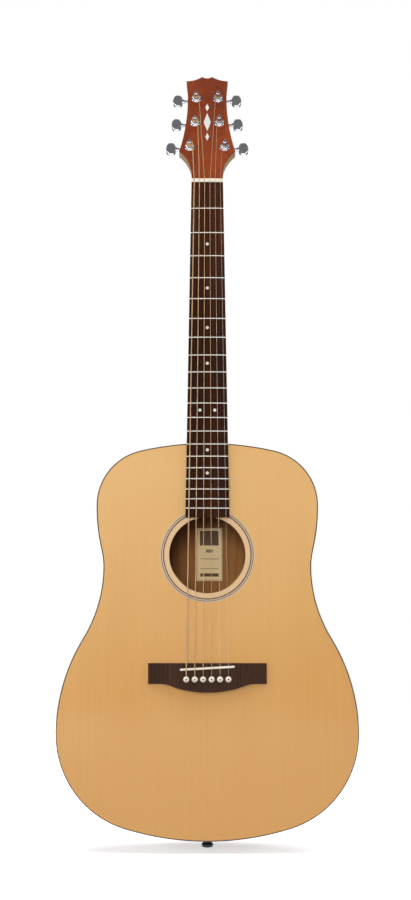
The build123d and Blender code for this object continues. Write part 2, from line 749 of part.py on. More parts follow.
axis_of_crown = Axis((0, crown_axis_y, 0), (0, 0, 1))
with BuildPart() as frets:
    for number in range(1, fret_count + 1):
        half_angle = fret_half_angle(number)
        with BuildSketch(Plane.YZ):
            with Locations((fretboard_crown_y, -fret_down(number))):
                Ellipse(fret_height, fret_width / 2)
                Rectangle(fret_height * 2, fret_width * 2, mode=Mode.SUBTRACT,
                          align=(Align.MIN, Align.CENTER))
                Rectangle(tang_depth, tang_width, align=(Align.MIN, Align.CENTER))
        revolve(axis=axis_of_crown, revolution_arc=half_angle)
    mirror(about=Plane.YZ)
save(frets, "frets")

with BuildPart() as fretboard:
    add(board_blank.part)
    for number in range(1, fret_count + 1):
        half_angle = fret_half_angle(number)
        with BuildPart(mode=Mode.PRIVATE) as tang:
            with BuildSketch(Plane.YZ):
                with Locations((fretboard_crown_y, -fret_down(number))):
                    Rectangle(tang_depth, tang_width, align=(Align.MIN, Align.CENTER))
            revolve(axis=axis_of_crown, revolution_arc=half_angle)
            mirror(about=Plane.YZ)
        add(tang.part, mode=Mode.SUBTRACT)
    add(dots.part, mode=Mode.SUBTRACT)
save(fretboard, "fretboard")


# ---------------------------------------------------------------- bridge and saddle
def contact_height(x, top):
    """Place of a crowned surface whose highest line lies at top, measured at x."""
    return top + crown_drop(x)


def saddle_point(number):
    """Where a string's axis bends over the saddle."""
    x = string_x(number, saddle_spread)
    lift = string_diameters[number - 1] / 2 + string_gap
    return Vector(x, contact_height(x, saddle_top_y) - lift,
                  saddle_z + x * tan(radians(saddle_slant)))


def nut_point(number):
    """Where a string's axis bends over the nut's front edge."""
    x = string_x(number, nut_spread)
    return Vector(x, contact_height(x, nut_string_y) - string_diameters[number - 1] / 2, 0)


def slot_point(number):
    """Where a string's axis leaves its pin's groove, just below the bridge's top."""
    return Vector(string_x(number, saddle_spread), slot_depth - bridge_thickness,
                  pin_z + string_in_slot)


def open_groove(point, direction, radius, back, forward):
    """Cuts a round-bottomed groove along a string, open toward the front."""
    along = direction.normalized()
    sideways = Vector(0, -1, 0).cross(along).normalized()
    face = Plane(origin=point - along * back, x_dir=sideways, z_dir=along)
    with BuildSketch(face) as profile:
        Circle(radius)
        Rectangle(2 * radius, 8.0, align=(Align.CENTER, Align.MIN))
    extrude(profile.sketch, amount=back + forward, mode=Mode.SUBTRACT)


with BuildPart() as bridge:
    with BuildSketch(level(0)):
        with BuildLine():
            half = bridge_width / 2
            top = -bridge_top_down
            wing, belly = top - bridge_wing_depth, top - bridge_belly_depth
            inner = half - bridge_wing_corner
            Polyline((inner, wing), (half, wing), (half, top), (-half, top), (-half, wing),
                     (-inner, wing))
            for hand in (-1, 1):
                Spline((hand * inner, wing),
                       *[(hand * across, belly + above) for across, above in belly_curve],
                       (0, belly), tangents=((-hand, 0), (-hand, 0)))
        make_face()
    extrude(amount=bridge_thickness + 1)
    with BuildSketch(Plane.XY.offset(-bridge_top_down - 2 * bridge_belly_depth)):
        with BuildLine():
            Polyline((-bridge_full_half, -bridge_thickness), (bridge_full_half, -bridge_thickness))
            for hand in (-1, 1):
                ThreePointArc((hand * bridge_full_half, -bridge_thickness),
                              (hand * bridge_fall[0], -bridge_fall[1]),
                              (hand * (bridge_width / 2 + 1), -bridge_wing_thickness))
            Polyline((-bridge_width / 2 - 1, -bridge_wing_thickness), (-bridge_width / 2 - 1, 0),
                     (bridge_width / 2 + 1, 0), (bridge_width / 2 + 1, -bridge_wing_thickness))
        make_face()
    extrude(amount=3 * bridge_belly_depth, mode=Mode.INTERSECT)
    front_edges = bridge.edges().filter_by(lambda edge: edge.bounding_box().max.Y < -1.0)
    fillet(front_edges, bridge_edge_round)
    pin_holes(-bridge_thickness - 1, 1)
    with BuildSketch(level(saddle_slot_depth - bridge_thickness)):
        with Locations(Location((0, saddle_z), saddle_slant)):
            SlotOverall(saddle_length, saddle_thickness)
    extrude(amount=2 * saddle_slot_depth, mode=Mode.SUBTRACT)
    for number in range(1, string_count + 1):
        start = slot_point(number)
        open_groove(start, saddle_point(number) - start,
                    string_diameters[number - 1] / 2 + groove_clearance, 0.3, 9.0)
save(bridge, "bridge")

with BuildPart() as saddle:
    with BuildSketch(level(saddle_slot_depth - bridge_thickness)):
        with Locations(Location((0, saddle_z), saddle_slant)):
            SlotOverall(saddle_length, saddle_thickness)
    extrude(amount=2 * (saddle_slot_depth + saddle_rise))
    with Locations((0, saddle_top_y + crown_radius, saddle_z)):
        Cylinder(crown_radius, 4 * saddle_length, mode=Mode.INTERSECT)
    fillet(saddle.faces().sort_by(Axis.Y)[0].edges(), saddle_round)
save(saddle, "saddle")


# ---------------------------------------------------------------- bridge pins
def bridge_pin(number):
    """A pin with a domed head and a full-length groove for its string."""
    x, z = pin_places()[number - 1]
    diameter = string_diameters[number - 1]
    seat = -bridge_thickness - pin_seat_gap
    with BuildPart() as pin:
        with BuildSketch(Plane(origin=(x, seat, z), x_dir=(1, 0, 0), z_dir=(0, 0, 1))):
            with BuildLine():
                Polyline((0, pin_length), (pin_radius - pin_tip_bevel[0], pin_length),
                         (pin_radius, pin_length - pin_tip_bevel[1]), (pin_radius, 0),
                         (pin_head_radius, 0), (pin_head_radius, -pin_head_rim))
                ThreePointArc((pin_head_radius, -pin_head_rim), (pin_dome[0], -pin_dome[1]),
                              (pin_head_radius / 3, -pin_head_height))
                Polyline((pin_head_radius / 3, -pin_head_height), (0, -pin_head_height),
                         (0, pin_length))
            make_face()
        revolve(axis=Axis((x, 0, z), (0, 1, 0)))
        with Locations((x, seat, z + string_in_slot - diameter / 2 - groove_clearance)):
            Box(diameter + 2 * groove_clearance, pin_length + 1, 2 * pin_radius, mode=Mode.SUBTRACT,
                align=(Align.CENTER, Align.MIN, Align.MIN))
    return pin


for number in range(1, string_count + 1):
    save(bridge_pin(number), f"bridge_pin_{number}")


# ---------------------------------------------------------------- tuners
def tuner_frame(place):
    """Local frame of one tuner: x toward its button, z out of the headstock's face."""
    x, up, hand = place
    return Plane(origin=head_plane.from_local_coords((x, up, 0)), x_dir=(hand, 0, 0),
                 z_dir=head_plane.z_dir)


def toward_button(frame, place, reach):
    """A sketch plane across the worm's axis, at reach from the post's axis."""
    hand = place[2]
    centre = frame.from_local_coords((reach, hand * worm_offset, -head_wood - worm_depth))
    return Plane(origin=centre, x_dir=frame.z_dir, z_dir=frame.x_dir)


def drum(frame, place, start, end, radius, mode=Mode.ADD):
    """Adds or cuts a cylinder on the worm's axis, between two distances from the post."""
    with BuildSketch(toward_button(frame, place, start)) as disc:
        Circle(radius)
    extrude(disc.sketch, amount=end - start, mode=mode)


def column(frame, start, end, radius, mode=Mode.ADD):
    """Adds or cuts a cylinder on the post's axis, between two heights above the wood."""
    with BuildSketch(frame.offset(start)) as disc:
        Circle(radius)
    extrude(disc.sketch, amount=end - start, mode=mode)


def housing_slot(frame, place, start, end, width, mode=Mode.ADD):
    """Adds or cuts the long round-ended block that covers the gears."""
    hand = place[2]
    with BuildSketch(frame.offset(start)) as slot:
        with Locations((0, hand * worm_offset / 2)):
            SlotCenterToCenter(worm_offset, width, rotation=90)
    extrude(slot.sketch, amount=end - start, mode=mode)


bushing_top = head_overlay + washer_thickness + bushing_hex_height
housing_half = housing_width / 2
cavity_floor = -(head_wood + housing_depth - housing_wall)
gear_level = -(head_wood + worm_depth)


def tuner_housing(place):
    """The closed gear cover on the headstock's rear, with its ear and shaft collar."""
    frame = tuner_frame(place)
    hand = place[2]
    ear = (0, -hand * ear_reach)
    with BuildPart() as housing:
        housing_slot(frame, place, -head_wood, -head_wood - housing_depth, housing_width)
        rear = housing.faces().sort_by(Axis((0, 0, 0), frame.z_dir))[0]
        fillet(rear.edges(), housing_round)
        with BuildSketch(frame.offset(-head_wood)) as lug:
            with Locations(ear):
                Circle(housing_ear_radius)
        extrude(lug.sketch, amount=-housing_ear_thickness)
        drum(frame, place, housing_half - 1.5, housing_half + 2.5, shaft_radius + 1.6)
        housing_slot(frame, place, -head_wood, cavity_floor, housing_width - 2 * housing_wall,
                     Mode.SUBTRACT)
        drum(frame, place, 0, housing_half + 3, shaft_radius + shaft_clearance, Mode.SUBTRACT)
        drum(frame, place, -housing_half - 1, 0, stub_radius + shaft_clearance, Mode.SUBTRACT)
        with BuildSketch(frame.offset(-head_wood)) as screw_hole:
            with Locations(ear):
                Circle(screw_radius)
        extrude(screw_hole.sketch, amount=-2 * housing_ear_thickness, mode=Mode.SUBTRACT)
    return housing


def tuner_bushing(place):
    """Washer, hexagonal collar and sleeve that line the post's hole."""
    frame = tuner_frame(place)
    collar_base = head_overlay + washer_thickness
    with BuildPart() as bushing:
        outward = Axis((0, 0, 0), frame.z_dir)
        column(frame, head_overlay, collar_base, washer_radius)
        chamfer(bushing.faces().sort_by(outward)[-1].edges(), washer_bevel)
        with BuildSketch(frame.offset(collar_base)) as collar:
            RegularPolygon(bushing_hex_radius, 6)
        extrude(collar.sketch, amount=bushing_hex_height)
        chamfer(bushing.faces().sort_by(outward)[-1].edges(), bushing_hex_bevel)
        column(frame, head_overlay - bushing_sleeve, head_overlay, bushing_radius)
        column(frame, head_overlay - bushing_sleeve - 1, bushing_top + 1,
               post_radius + bushing_bore_clearance, Mode.SUBTRACT)
    return bushing


def tuner_post(place):
    """The string post with its gear wheel and cross hole."""
    frame = tuner_frame(place)
    hole_level = post_rise - post_hole_drop
    with BuildPart() as post:
        column(frame, gear_level - wheel_thickness / 2, post_rise - post_tip_bevel, post_radius)
        with BuildSketch(frame.offset(post_rise - post_tip_bevel)) as tip:
            Circle(post_radius)
        extrude(tip.sketch, amount=post_tip_bevel, taper=40)
        with BuildSketch(frame.offset(gear_level - wheel_thickness / 2)) as wheel:
            Circle(wheel_radius - 0.9)
            with PolarLocations(wheel_radius - 0.6, wheel_teeth):
                Rectangle(1.2, 1.1)
        extrude(wheel.sketch, amount=wheel_thickness)
        with BuildSketch(Plane(origin=frame.from_local_coords((0, -2 * post_radius, hole_level)),
                               x_dir=frame.x_dir, z_dir=frame.y_dir)) as hole:
            Circle(post_hole_radius)
        extrude(hole.sketch, amount=4 * post_radius, mode=Mode.SUBTRACT)
    return post


def tuner_knob(place):
    """Worm, shaft and button, turning together about the worm's axis."""
    frame = tuner_frame(place)
    hand = place[2]
    with BuildPart() as knob:
        drum(frame, place, -housing_half - 0.6, 0, stub_radius)
        drum(frame, place, -worm_half_length, worm_half_length, worm_radius)
        for middle in worm_grooves:
            with BuildSketch(toward_button(frame, place, middle - worm_groove_width / 2)) as groove:
                Circle(worm_radius + 1)
                Circle(worm_radius - worm_groove_depth, mode=Mode.SUBTRACT)
            extrude(groove.sketch, amount=worm_groove_width, mode=Mode.SUBTRACT)
        drum(frame, place, 0, button_reach, shaft_radius)
        drum(frame, place, button_reach - button_half_width - 2.6,
             button_reach - button_half_width + 0.6, shaft_radius + 1.0)
        with BuildPart(mode=Mode.PRIVATE) as button:
            with BuildSketch(frame.offset(gear_level - button_thickness / 2)) as oval:
                wide, tall = button_half_width, button_half_height
                with Locations((button_reach, hand * worm_offset)):
                    Polygon((wide, button_flat), (button_shoulder, tall), (-button_shoulder, tall),
                            (-wide, button_flat), (-wide, -button_flat), (-button_shoulder, -tall),
                            (button_shoulder, -tall), (wide, -button_flat), align=None)
                fillet(oval.vertices(), button_corner_round)
            extrude(oval.sketch, amount=button_thickness)
            broad_faces = button.faces().filter_by(Axis((0, 0, 0), frame.z_dir))
            fillet(broad_faces.edges(), button_edge_round)
        add(button.part)
        drum(frame, place, button_reach + button_half_width - 1.0,
             button_reach + button_half_width + 0.8, screw_head_radius)
    return knob


def tuner_screw(place):
    """The small screw that holds the cover's ear to the headstock."""
    frame = tuner_frame(place)
    ear = frame.from_local_coords((0, -place[2] * ear_reach, 0))
    axis_frame = Plane(origin=ear, x_dir=frame.x_dir, z_dir=frame.z_dir)
    seat = -head_wood - housing_ear_thickness
    with BuildPart() as screw:
        column(axis_frame, seat, -head_wood + screw_bite, screw_radius)
        column(axis_frame, seat - 1.2, seat, screw_head_radius)
        with BuildSketch(axis_frame.offset(seat - 1.2)) as slot:
            Rectangle(0.7, 2 * screw_head_radius)
        extrude(slot.sketch, amount=0.6, mode=Mode.SUBTRACT)
    return screw


def place_of(number):
    """The tuner that a string runs to: the outer strings use the lowest posts."""
    row = min(number, string_count + 1 - number) - 1
    hand = 1 if number <= string_count / 2 else -1
    x, up = post_places[row]
    return (hand * x, up, hand)


def gather(builders):
    """Collects several builders' solids in one part."""
    with BuildPart() as group:
        for builder in builders:
            add(builder.part)
    return group


places = [place_of(number) for number in range(1, string_count + 1)]
save(gather([make(place) for place in places for make in (tuner_housing, tuner_screw)]),
     "tuner_housings")
save(gather([tuner_bushing(place) for place in places]), "tuner_bushings")
for number, place in enumerate(places, start=1):
    save(tuner_post(place), f"tuner_post_{number}")
    save(tuner_knob(place), f"tuner_knob_{number}")


# ---------------------------------------------------------------- strings
def winding_start(number):
    """Height of the lowest turn's axis above the headstock's wood."""
    return bushing_top + winding_lift + string_diameters[number - 1] / 2


def turn_pitch(number):
    """Distance between neighbouring turns on a post."""
    return string_diameters[number - 1] + turn_gap


def ring_level(number):
    """Height of the string's own turn, above the turns that ride on the post."""
    return winding_start(number) + (winding_turns + 1) * turn_pitch(number) + own_turn_gap


def post_ring(number):
    """The string's turn round its post: touch point, middle and end of the arc."""
    place = place_of(number)
    frame = tuner_frame(place)
    radius = post_radius + string_diameters[number - 1] / 2 + post_clearance
    centre = frame.from_local_coords((0, 0, ring_level(number)))
    start = nut_point(number)
    toward = (start - centre).normalized()
    sideways = frame.z_dir.cross(toward).normalized()
    inner = -place[2] if sideways.X > 0 else place[2]
    angle = acos(radius / (start - centre).length)

    def at(turn):
        """Point of the ring at an angle from the touch point."""
        whole = angle + turn
        return centre + toward * (radius * cos(whole)) + sideways * (inner * radius * sin(whole))

    return at(0), at(radians(own_turn_angle / 2)), at(radians(own_turn_angle))


def rounded_run(points, radii):
    """Straight runs joined by tangent arcs, one radius for each inner point."""
    start = points[0]
    for index, radius in enumerate(radii, start=1):
        corner = points[index]
        coming = (corner - points[index - 1]).normalized()
        going = (points[index + 1] - corner).normalized()
        half_turn = radians(coming.get_angle(going)) / 2
        reach = radius * tan(half_turn)
        first, last = corner - coming * reach, corner + going * reach
        inward = (going - coming).normalized()
        middle = corner + inward * (radius / cos(half_turn) - radius)
        Line(start, first)
        ThreePointArc(first, middle, last)
        start = last
    Line(start, points[-1])


def string_path(number):
    """Points of a string from its ball, through its pin's groove, to its post."""
    x, z = pin_places()[number - 1]
    below = top_thickness + bridge_plate_thickness
    ball = Vector(x, below + ball_radius + 0.05, z + pin_radius + ball_radius + 0.3)
    bend = Vector(x, below + 0.75, z + string_in_slot)
    return [ball, bend, slot_point(number), saddle_point(number), nut_point(number)]


def guitar_string(number):
    """One string with its ball end, as a single sweep of straight runs and arcs."""
    touch, middle, end = post_ring(number)
    points = string_path(number) + [touch]
    radius = string_diameters[number - 1] / 2
    with BuildPart() as string:
        with BuildLine() as run:
            rounded_run(points, string_bends)
            ThreePointArc(touch, middle, end)
        with BuildSketch(Plane(origin=points[0], z_dir=points[1] - points[0])) as section:
            Circle(radius)
        sweep(section.sketch, path=run.wire())
        with Locations(Plane(origin=points[0], x_dir=(0, 1, 0), z_dir=(1, 0, 0))):
            Cylinder(ball_radius, ball_length)
    return string


def post_winding(number):
    """The turns that ride on the post, and the tail that passes through its hole."""
    place = place_of(number)
    frame = tuner_frame(place)
    diameter = string_diameters[number - 1]
    pitch = turn_pitch(number)
    with BuildPart() as winding:
        with BuildLine() as coil:
            Helix(pitch, winding_turns * pitch, post_radius + diameter / 2 + 0.01,
                  center=frame.from_local_coords((0, 0, winding_start(number))),
                  direction=frame.z_dir, lefthand=place[2] > 0)
        with BuildSketch(Plane(origin=coil.line @ 0, z_dir=coil.line % 0)) as section:
            Circle(diameter / 2)
        sweep(section.sketch, path=coil.line, is_frenet=True)
        tail_start = frame.from_local_coords((0, -post_radius - 0.6, post_rise - post_hole_drop))
        with BuildSketch(Plane(origin=tail_start, x_dir=frame.x_dir, z_dir=frame.y_dir)) as tail:
            Circle(diameter / 2)
        extrude(tail.sketch, amount=2 * post_radius + 3.0)
    return winding


for number in range(1, string_count + 1):
    save(guitar_string(number), f"string_{number}")
    save(post_winding(number), f"string_winding_{number}")

with BuildPart() as nut:
    with BuildSketch(Plane.XY):
        with BuildLine():
            half = nut_width / 2
            top = nut_string_y - 0.45
            Polyline((-half, contact_height(half, top)), (-half, 0), (half, 0),
                     (half, contact_height(half, top)))
            ThreePointArc((half, contact_height(half, top)), (0, top),
                          (-half, contact_height(half, top)))
        make_face()
    extrude(amount=nut_thickness)
    fillet(nut.faces().sort_by(Axis.Y)[0].edges(), nut_round)
    for number in range(1, string_count + 1):
        start = nut_point(number)
        open_groove(start, post_ring(number)[0] - start,
                    string_diameters[number - 1] / 2 + nut_groove_clearance, 1.0,
                    nut_thickness + 2)
save(nut, "nut")

# ---------------------------------------------------------------- truss rod
rod_centre_y = rod_sink + rod_depth_size / 2

with BuildPart() as rod_filler:
    with Locations((0, 0, body_top - tenon_length)):
        Box(rod_width, rod_sink, rod_start - body_top + tenon_length,
            align=(Align.CENTER, Align.MIN, Align.MIN))
save(rod_filler, "truss_rod_filler")

with BuildPart() as truss_rod:
    with Locations((0, rod_sink, neck_block_end - rod_reach)):
        Box(rod_width, rod_depth_size, rod_start - neck_block_end + rod_reach,
            align=(Align.CENTER, Align.MIN, Align.MIN))
    with Locations((0, rod_centre_y, neck_block_end - rod_reach)):
        Cylinder(rod_stub_radius, rod_nut_length,
                 align=(Align.CENTER, Align.CENTER, Align.MAX))
save(truss_rod, "truss_rod")

with BuildPart() as rod_nut:
    nut_face = Plane.XY.offset(neck_block_end - rod_reach - rod_nut_gap)
    with BuildSketch(nut_face):
        with Locations((0, rod_centre_y)):
            RegularPolygon(rod_nut_flats / 2, 6, major_radius=False)
            Circle(rod_stub_radius + rod_nut_clearance, mode=Mode.SUBTRACT)
    extrude(amount=-rod_nut_length)
    with BuildSketch(nut_face.offset(-rod_nut_length)):
        with Locations((0, rod_centre_y)):
            RegularPolygon(rod_nut_flats / 2, 6, major_radius=False)
            RegularPolygon(rod_socket_flats / 2, 6, major_radius=False, mode=Mode.SUBTRACT)
    extrude(amount=-rod_nut_length / 2)
save(rod_nut, "truss_rod_nut")

print(len(written), "pieces written")
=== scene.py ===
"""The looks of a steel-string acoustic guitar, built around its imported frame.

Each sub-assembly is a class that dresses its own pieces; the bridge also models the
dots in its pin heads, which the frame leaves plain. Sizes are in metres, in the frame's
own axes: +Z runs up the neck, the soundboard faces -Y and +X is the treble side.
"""

import logging
import math
from dataclasses import dataclass
from enum import Enum
from typing import Mapping, Sequence, Union

import bmesh
import bpy
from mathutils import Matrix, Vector


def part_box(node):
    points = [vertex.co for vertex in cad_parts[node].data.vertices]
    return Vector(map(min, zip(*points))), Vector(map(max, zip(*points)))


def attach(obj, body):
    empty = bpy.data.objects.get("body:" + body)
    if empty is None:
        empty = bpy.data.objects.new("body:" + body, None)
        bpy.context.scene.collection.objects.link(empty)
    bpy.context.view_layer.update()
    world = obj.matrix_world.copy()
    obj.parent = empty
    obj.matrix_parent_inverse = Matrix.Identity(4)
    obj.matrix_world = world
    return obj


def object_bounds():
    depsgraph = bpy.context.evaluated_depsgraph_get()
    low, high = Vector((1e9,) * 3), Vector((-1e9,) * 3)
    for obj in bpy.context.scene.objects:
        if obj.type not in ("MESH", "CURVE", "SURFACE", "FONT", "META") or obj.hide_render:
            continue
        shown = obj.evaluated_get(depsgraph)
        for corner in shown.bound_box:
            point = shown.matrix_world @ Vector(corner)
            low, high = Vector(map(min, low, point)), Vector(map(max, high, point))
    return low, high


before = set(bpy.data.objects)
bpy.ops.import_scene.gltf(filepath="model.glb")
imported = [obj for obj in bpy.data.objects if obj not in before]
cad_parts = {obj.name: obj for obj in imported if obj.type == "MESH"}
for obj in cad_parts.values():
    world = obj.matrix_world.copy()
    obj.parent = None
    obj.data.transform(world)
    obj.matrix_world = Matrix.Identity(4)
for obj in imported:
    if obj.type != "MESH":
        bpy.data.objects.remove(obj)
CAD_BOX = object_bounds()

Colour = tuple[float, float, float]
Value = Union[float, "Signal"]

log = logging.getLogger("guitar")
STRINGS = range(1, 7)


# ------------------------------------------------------------------ shader helpers
class Signal:
    """A socket of a material, with arithmetic that adds the Math nodes it needs."""

    def __init__(self, recipe: "Recipe", socket: bpy.types.NodeSocket) -> None:
        """Wraps one output socket.

        Args:
            recipe: The material that the socket belongs to.
            socket: The output socket.
        """
        self.recipe = recipe
        self.socket = socket

    def _maths(self, operation: str, *values: Value) -> "Signal":
        """Adds one Math node on the given values.

        Args:
            operation: Name of the Math node's operation.
            values: The node's inputs in order.

        Returns:
            The node's result.
        """
        inputs = dict(enumerate(values))
        return self.recipe.node("ShaderNodeMath", {"operation": operation}, inputs)

    def __add__(self, other: Value) -> "Signal":
        """Sum of two values."""
        return self._maths("ADD", self, other)

    def __radd__(self, other: Value) -> "Signal":
        """Sum with a plain number on the left."""
        return self._maths("ADD", other, self)

    def __sub__(self, other: Value) -> "Signal":
        """Difference of two values."""
        return self._maths("SUBTRACT", self, other)

    def __rsub__(self, other: Value) -> "Signal":
        """Difference from a plain number on the left."""
        return self._maths("SUBTRACT", other, self)

    def __mul__(self, other: Value) -> "Signal":
        """Product of two values."""
        return self._maths("MULTIPLY", self, other)

    def __rmul__(self, other: Value) -> "Signal":
        """Product with a plain number on the left."""
        return self._maths("MULTIPLY", other, self)

    def __truediv__(self, other: Value) -> "Signal":
        """Quotient of two values."""
        return self._maths("DIVIDE", self, other)

    def __pow__(self, other: Value) -> "Signal":
        """This value raised to a power."""
        return self._maths("POWER", self, other)

    def __abs__(self) -> "Signal":
        """Distance from zero."""
        return self._maths("ABSOLUTE", self)

    def __lt__(self, other: Value) -> "Signal":
        """1 where this value is the smaller one, else 0."""
        return self._maths("LESS_THAN", self, other)

    def __gt__(self, other: Value) -> "Signal":
        """1 where this value is the larger one, else 0."""
        return self._maths("GREATER_THAN", self, other)

    def sine(self) -> "Signal":
        """Sine of this value in radians."""
        return self._maths("SINE", self)

    def larger(self, other: Value) -> "Signal":
        """The larger of two values."""
        return self._maths("MAXIMUM", self, other)

    def step(self, low: float, high: float) -> "Signal":
        """A smooth rise from 0 to 1 between two values.

        Args:
            low: Value below which the result is 0.
            high: Value above which the result is 1.

        Returns:
            The eased value.
        """
        settings = {"interpolation_type": "SMOOTHSTEP"}
        return self.recipe.node("ShaderNodeMapRange", settings,
                                {"Value": self, "From Min": low, "From Max": high})


class Recipe:
    """A node material under construction, with one Principled shader."""

    def __init__(self, name: str) -> None:
        """Starts an empty material.

        Args:
            name: The material's name.
        """
        self.material = bpy.data.materials.new(name)
        self.material.use_nodes = True
        self.tree = self.material.node_tree
        self.shader = self.tree.nodes["Principled BSDF"]
        place = self._make("ShaderNodeTexCoord", {})
        self.position = Signal(self, place.outputs["Object"])
        self.x, self.y, self.z = self.split(self.position)
        self.facing = Signal(self, place.outputs["Normal"])

    def _make(self, kind: str, settings: Mapping[str, object]) -> bpy.types.Node:
        """Adds a node and sets its properties.

        Args:
            kind: The node's type.
            settings: Its properties; "stops" fills a colour ramp.

        Returns:
            The new node.
        """
        made = self.tree.nodes.new(kind)
        for key, value in settings.items():
            if key == "stops":
                ramp = made.color_ramp
                while len(ramp.elements) < len(value):
                    ramp.elements.new(0.5)
                for element, (position, colour) in zip(ramp.elements, value):
                    element.position = position
                    element.color = (*colour, 1.0)
            else:
                setattr(made, key, value)
        return made

    def _feed(self, socket: bpy.types.NodeSocket, value: object) -> None:
        """Links a signal to a socket, or sets a plain value on it.

        Args:
            socket: The input socket.
            value: A signal, a number, a colour or a vector.
        """
        if isinstance(value, Signal):
            self.tree.links.new(value.socket, socket)
        elif isinstance(value, (tuple, list, Vector)) and socket.type == "RGBA":
            socket.default_value = (*value, 1.0)
        else:
            socket.default_value = value

    def node(self, kind: str, settings: Mapping[str, object],
             inputs: Mapping[Union[int, str], object], output: Union[int, str] = 0) -> Signal:
        """Adds any node, set up and linked.

        Args:
            kind: The node's type.
            settings: Properties, set before the inputs.
            inputs: Socket name or number to value or signal.
            output: Which output to return.

        Returns:
            The chosen output.
        """
        made = self._make(kind, settings)
        for key, value in inputs.items():
            self._feed(made.inputs[key], value)
        return Signal(self, made.outputs[output])

    def vector(self, x: Value, y: Value, z: Value) -> Signal:
        """A vector from three values."""
        return self.node("ShaderNodeCombineXYZ", {}, {0: x, 1: y, 2: z})

    def split(self, vector: Signal) -> list[Signal]:
        """The three numbers of a vector."""
        parts = self._make("ShaderNodeSeparateXYZ", {})
        self._feed(parts.inputs[0], vector)
        return [Signal(self, out) for out in parts.outputs]

    def distance(self, centre: Sequence[float], along: Sequence[float] = (1, 1, 1)) -> Signal:
        """Distance from a point, counting only the axes that are 1 in along.

        Args:
            centre: The point.
            along: 1 or 0 for each axis.

        Returns:
            The distance in metres.
        """
        flat = self.node("ShaderNodeVectorMath", {"operation": "MULTIPLY_ADD"},
                         {0: self.position, 1: Vector(along),
                          2: -Vector([c * a for c, a in zip(centre, along)])})
        return self.node("ShaderNodeVectorMath", {"operation": "LENGTH"}, {0: flat}, "Value")

    def noise(self, where: Signal, scale: float, detail: float = 2.0,
              roughness: float = 0.5) -> Signal:
        """A soft random value between 0 and 1.

        Args:
            where: Position to read the noise at.
            scale: Features per metre of the position.
            detail: How many finer layers are added.
            roughness: How strong the finer layers are.

        Returns:
            The noise value.
        """
        return self.node("ShaderNodeTexNoise", {},
                         {"Vector": where, "Scale": scale, "Detail": detail,
                          "Roughness": roughness})

    def mix(self, factor: Value, first: object, second: object) -> Signal:
        """A colour between two colours.

        Args:
            factor: 0 for the first colour, 1 for the second.
            first: A colour or a colour signal.
            second: A colour or a colour signal.

        Returns:
            The mixed colour.
        """
        return self.node("ShaderNodeMix", {"data_type": "RGBA"},
                         {0: factor, 6: first, 7: second}, 2)

    def ramp(self, factor: Signal, stops: Sequence[tuple[float, Colour]]) -> Signal:
        """A colour read from a ramp.

        Args:
            factor: Where to read, from 0 to 1.
            stops: Position and colour of each stop.

        Returns:
            The colour.
        """
        return self.node("ShaderNodeValToRGB", {"stops": stops}, {0: factor})

    def bump(self, height: Signal, distance: float, strength: float = 1.0) -> None:
        """Raises the surface a little by a height signal.

        Args:
            height: Height between 0 and 1.
            distance: Height in metres of a value of 1.
            strength: How much of the bump shows.
        """
        normal = self.node("ShaderNodeBump", {},
                           {"Height": height, "Distance": distance, "Strength": strength})
        self._feed(self.shader.inputs["Normal"], normal)

    def surface(self, **inputs: object) -> bpy.types.Material:
        """Sets the shader's own inputs and closes the recipe.

        Args:
            inputs: Socket names with underscores for spaces, and their values.

        Returns:
            The finished material.
        """
        for key, value in inputs.items():
            self._feed(self.shader.inputs[key.replace("_", " ")], value)
        return self.material


# ------------------------------------------------------------------ finishes
class Grain(Enum):
    """Which way a wood's growth rings run across a surface."""

    QUARTERED = "straight lines, evenly spaced"
    SLAB = "wide wandering figure"


